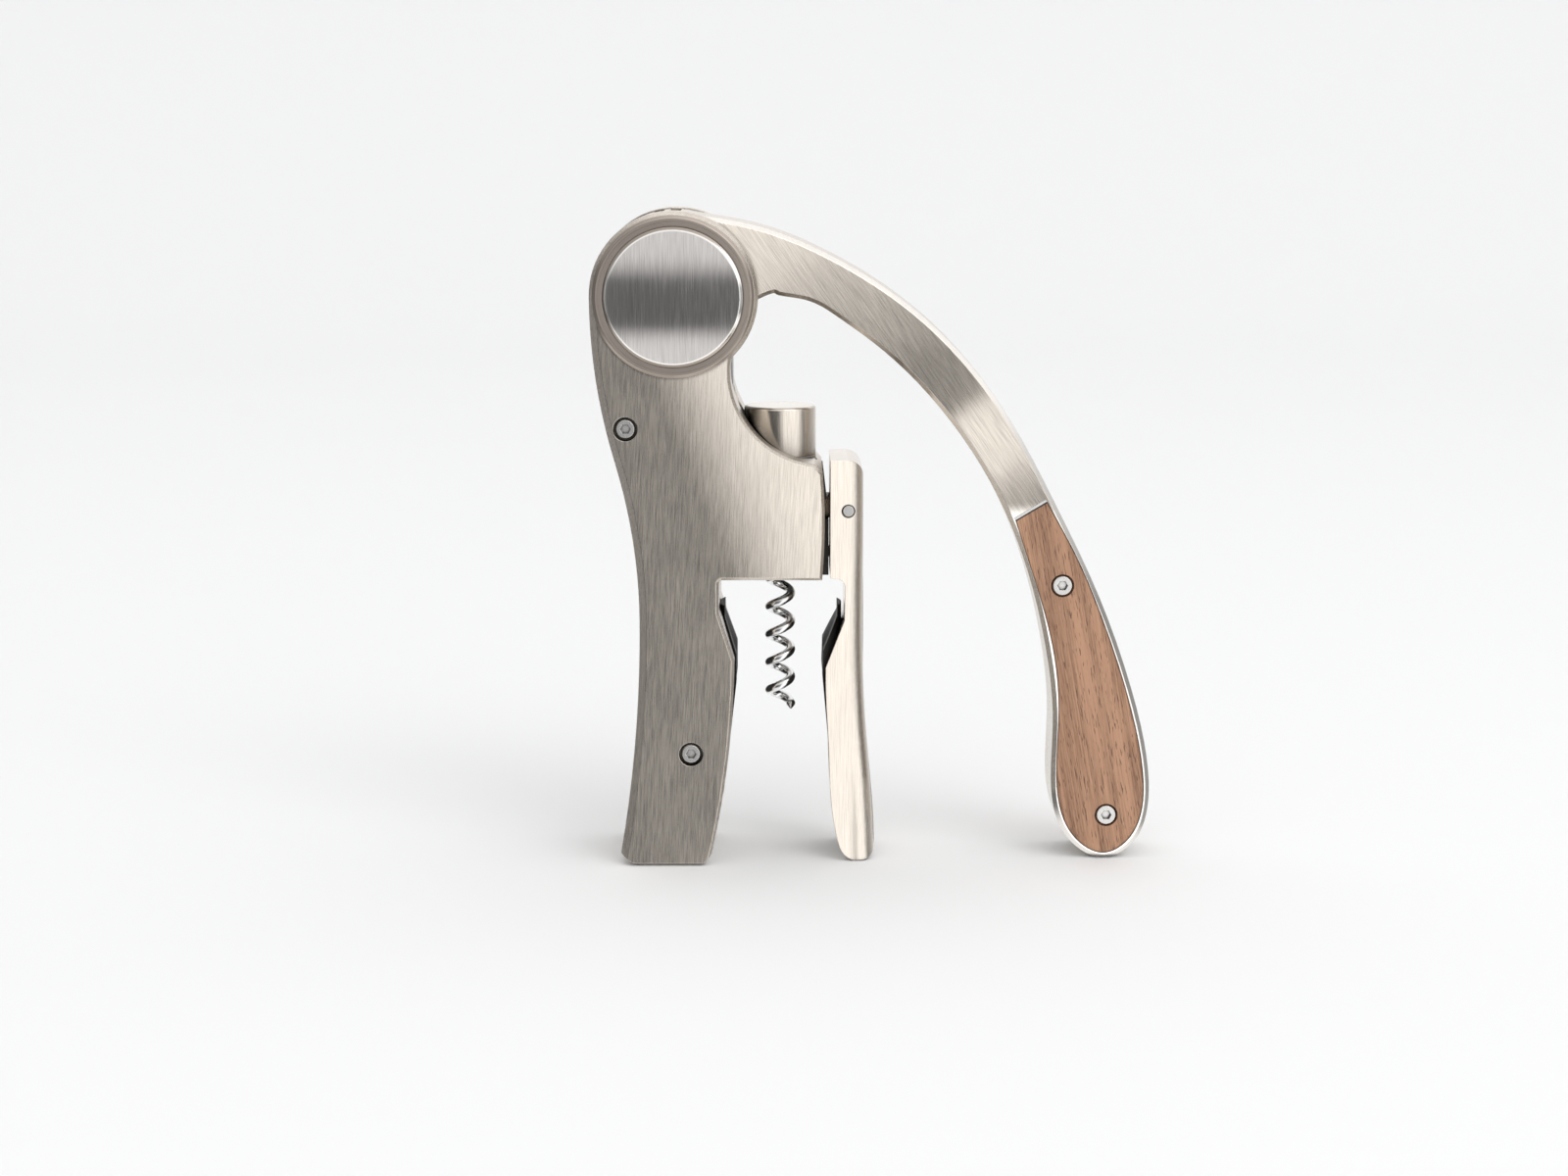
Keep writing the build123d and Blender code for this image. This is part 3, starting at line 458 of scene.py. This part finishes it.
# ---- CAD nodes: finish, and smooth shading across shallow angles ----
def smoother():
    """Joins doubled points and shades smooth, but keeps the sharper edges sharp."""
    group = bpy.data.node_groups.new("smooth_shallow_edges", "GeometryNodeTree")
    group.interface.new_socket("Geometry", in_out="INPUT", socket_type="NodeSocketGeometry")
    group.interface.new_socket("Geometry", in_out="OUTPUT", socket_type="NodeSocketGeometry")
    start = group.nodes.new("NodeGroupInput")
    merge = group.nodes.new("GeometryNodeMergeByDistance")
    merge.inputs["Distance"].default_value = 1e-6
    faces = group.nodes.new("GeometryNodeSetShadeSmooth")
    edges = group.nodes.new("GeometryNodeSetShadeSmooth")
    edges.domain = "EDGE"
    angle = group.nodes.new("GeometryNodeInputMeshEdgeAngle")
    shallow = group.nodes.new("FunctionNodeCompare")
    shallow.operation = "LESS_EQUAL"
    shallow.inputs[1].default_value = math.radians(SHALLOW)
    end = group.nodes.new("NodeGroupOutput")
    for source, target in (
        (start.outputs[0], merge.inputs[0]),
        (merge.outputs[0], faces.inputs[0]),
        (faces.outputs[0], edges.inputs[0]),
        (angle.outputs[0], shallow.inputs[0]),
        (shallow.outputs[0], edges.inputs["Shade Smooth"]),
        (edges.outputs[0], end.inputs[0]),
    ):
        group.links.new(source, target)
    return group


smooth_group = smoother()
slots = {part["node"]: part["material_slot"] for part in frame["record"]["subparts"]}
for name, piece in frame["nodes"].items():
    piece.data.materials.clear()
    piece.data.materials.append(materials[slots[name]])
    piece.modifiers.new("smooth", "NODES").node_group = smooth_group


# ---- a polished step, and a black strip that paints the shade in the gap where the arm meets the wood ----
def wood_top(side):
    """The two corners of the wood's upper end, from the CAD scale on that side."""
    points = [vertex.co for vertex in frame["nodes"]["handle_scale_" + side].data.vertices]
    right = max(points, key=lambda point: point.z)
    left = max(points, key=lambda point: point.z - 2.2 * point.x)
    return left, right


def strip(name, ends, y, depth, width, shift, bevel, material):
    """A thin bar in the x-z plane between two points, with its long edges bevelled."""
    start, end = ends
    along = Vector((end.x - start.x, 0, end.z - start.z)).normalized()
    up = Vector((-along.z, 0, along.x))
    profile = (
        (0, 0), (0, depth - bevel), (bevel, depth),
        (width - bevel, depth), (width, depth - bevel), (width, 0),
    )
    outward = -1 if y < 0 else 1
    rings = []
    for point in ends:
        base = Vector((point.x, 0, point.z)) + up * shift
        rings.append([base + up * rise + Vector((0, y + outward * out, 0)) for rise, out in profile])
    count = len(profile)
    faces = [(i, (i + 1) % count, count + (i + 1) % count, count + i) for i in range(count)]
    faces += [tuple(range(count)), tuple(range(2 * count - 1, count - 1, -1))]
    mesh = bpy.data.meshes.new(name)
    mesh.from_pydata([tuple(corner) for ring in rings for corner in ring], [], faces)
    mesh.materials.append(materials[material])
    made = bpy.data.objects.new(name, mesh)
    bpy.context.scene.collection.objects.link(made)
    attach(made, "lever")
    return made


arm_face = ARM_HALF - 0.5 * MM
for side, way in (("front", -1), ("rear", 1)):
    ends = wood_top(side)
    step_y = way * (arm_face - 0.2 * MM)
    step = strip("wood_step_" + side, ends, step_y, 0.35 * MM, 0.7 * MM, 0.05 * MM, 0.12 * MM, "screw_steel")
    # painted shade: a thin black strip stands for the shade in the gap between the arm and the wood
    gap_shade_y = way * (arm_face - 0.4 * MM)
    gap_shade = strip("wood_gap_shade_" + side, ends, gap_shade_y, 0.3 * MM, 0.45 * MM, -0.4 * MM, 0.05 * MM, "pad_rubber")


# ---- stage ----
def sweep_floor():
    """A pale floor that curves up into a wall behind."""
    front, bend, rise, top, half = -3.0, 1.6, 1.2, 3.2, 4.0
    profile = [(front, 0.0), (bend, 0.0)]
    steps = 24
    for step in range(1, steps + 1):
        turn = math.pi / 2 * step / steps
        profile.append((bend + rise * math.sin(turn), rise * (1 - math.cos(turn))))
    profile.append((bend + rise, top))
    points = [(x, y, FLOOR_Z + z) for y, z in profile for x in (-half, half)]
    faces = [(2 * i, 2 * i + 1, 2 * i + 3, 2 * i + 2) for i in range(len(profile) - 1)]
    mesh = bpy.data.meshes.new("floor")
    mesh.from_pydata(points, [], faces)
    mesh.polygons.foreach_set("use_smooth", [True] * len(faces))
    floor = bpy.data.objects.new("floor", mesh)
    bpy.context.scene.collection.objects.link(floor)
    tree, shader = new_material("pale_floor")
    shader.inputs["Base Color"].default_value = (0.84, 0.842, 0.845, 1)
    grain = noise(tree, place(tree), (0.4, 0.4, 0.4))
    put(tree, remap(tree, grain, NOISE_LOW, NOISE_HIGH, 0.75, 0.85), shader.inputs["Roughness"])
    mesh.materials.append(materials["pale_floor"])
    floor.visible_glossy = False


def studio():
    """A soft surround: dark to the front left, a large soft box to the front right, light above and below."""
    world = bpy.data.worlds.new("studio")
    world.use_nodes = True
    tree = world.node_tree
    back = tree.nodes["Background"]
    back.inputs["Color"].default_value = (1, 1, 1, 1)
    x, y, z = parts_of(tree, node(tree, "TexCoord").outputs["Generated"])
    azimuth = calc(tree, "ARCTAN2", x, calc(tree, "MULTIPLY", y, -1))
    bands = [(math.radians(angle), level) for angle, level in STUDIO_BANDS]
    around = calc(tree, "MULTIPLY", curve(tree, azimuth, -math.pi, math.pi, bands), STUDIO_GAIN)
    above = remap(tree, z, 0.04, 0.5, 0, ABOVE_GAIN)
    above = calc(tree, "MULTIPLY", above, remap(tree, x, -0.9, 0.1, ABOVE_LEFT, 1))
    below = remap(tree, calc(tree, "MULTIPLY", z, -1), 0.36, 0.66, 0, BELOW_GAIN)
    level = calc(tree, "MAXIMUM", around, calc(tree, "MAXIMUM", above, below))
    put(tree, level, back.inputs["Strength"])
    bpy.context.scene.world = world


def soft_box(name, where, target, size, watts):
    """A square lamp that faces its target."""
    data = bpy.data.lights.new(name, "AREA")
    data.shape = "RECTANGLE"
    data.size = size
    data.size_y = size
    data.energy = watts
    lamp = bpy.data.objects.new(name, data)
    lamp.location = where
    lamp.rotation_euler = (Vector(target) - Vector(where)).to_track_quat("-Z", "Y").to_euler()
    bpy.context.scene.collection.objects.link(lamp)


sweep_floor()
studio()
soft_box("key", (0.9, -1.1, 1.3), (0, 0, 0.02), 0.9, 4)

# ---- camera ----
lens = bpy.data.cameras.new("camera")
lens.sensor_width = 36
lens.lens = 67.5
camera = bpy.data.objects.new("camera", lens)
camera.location = (0.00108, -0.81782, 0.13309)
camera.rotation_euler = (math.radians(80.4), 0, 0)
bpy.context.scene.collection.objects.link(camera)
bpy.context.scene.camera = camera
bpy.context.scene.view_settings.view_transform = "Standard"
